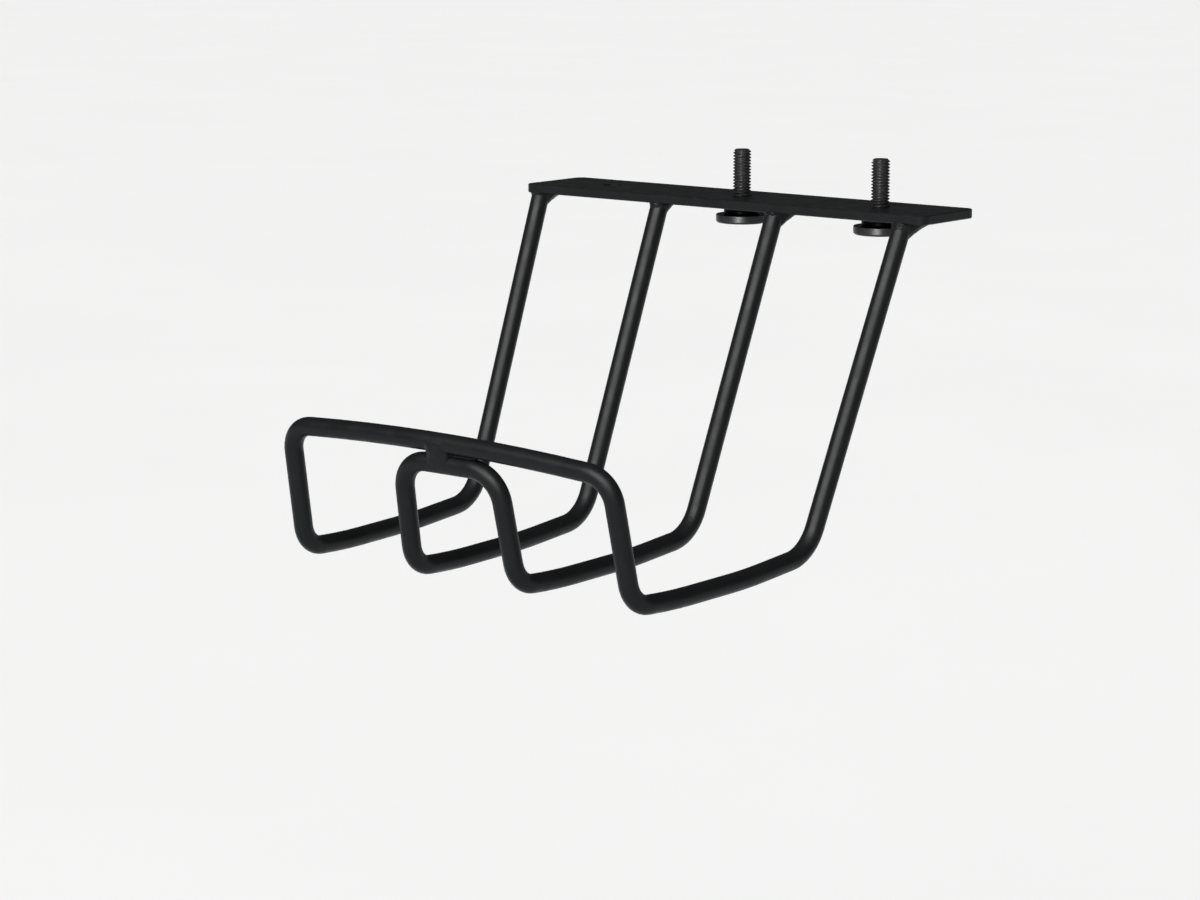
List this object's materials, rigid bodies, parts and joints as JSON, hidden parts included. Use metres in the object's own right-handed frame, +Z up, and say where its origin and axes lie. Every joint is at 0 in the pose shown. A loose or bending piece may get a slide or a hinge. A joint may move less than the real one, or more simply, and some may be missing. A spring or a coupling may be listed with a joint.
{
  "type": "under-desk storage hook",
  "caption": "Black bent-wire storage hook: two wire hoops welded under a flat strip that screws beneath a desk top and form a forward tray with an upturned front lip.",
  "frame": {"origin": "centre of the mounting strip's top face, on the axis of the middle screw", "axes": "+Z up, out of the strip's top face into the desk; -Y towards the user, where the tray reaches; +X to the user's right, along the strip"},
  "size_m": [0.1642, 0.1643, 0.1244],
  "materials": {
    "powder_coat": "satin black powder coat with fine orange peel and a few pinholes",
    "coated_weld": "lumpy weld bead under the same satin black powder coat",
    "black_screw": "black oxide steel, slightly glossier than the powder coat",
    "black_washer": "black oxide spring steel"
  },
  "bodies": {
    "root": {"mounting_plate": "powder_coat", "outer_hoop": "powder_coat", "inner_hoop": "powder_coat", "outer_left_weld": "coated_weld", "inner_left_weld": "coated_weld", "inner_right_weld": "coated_weld", "outer_right_weld": "coated_weld", "crossbar_weld": "coated_weld", "fixing_screws": "black_screw", "lock_washers": "black_washer"}
  },
  "joints": []
}
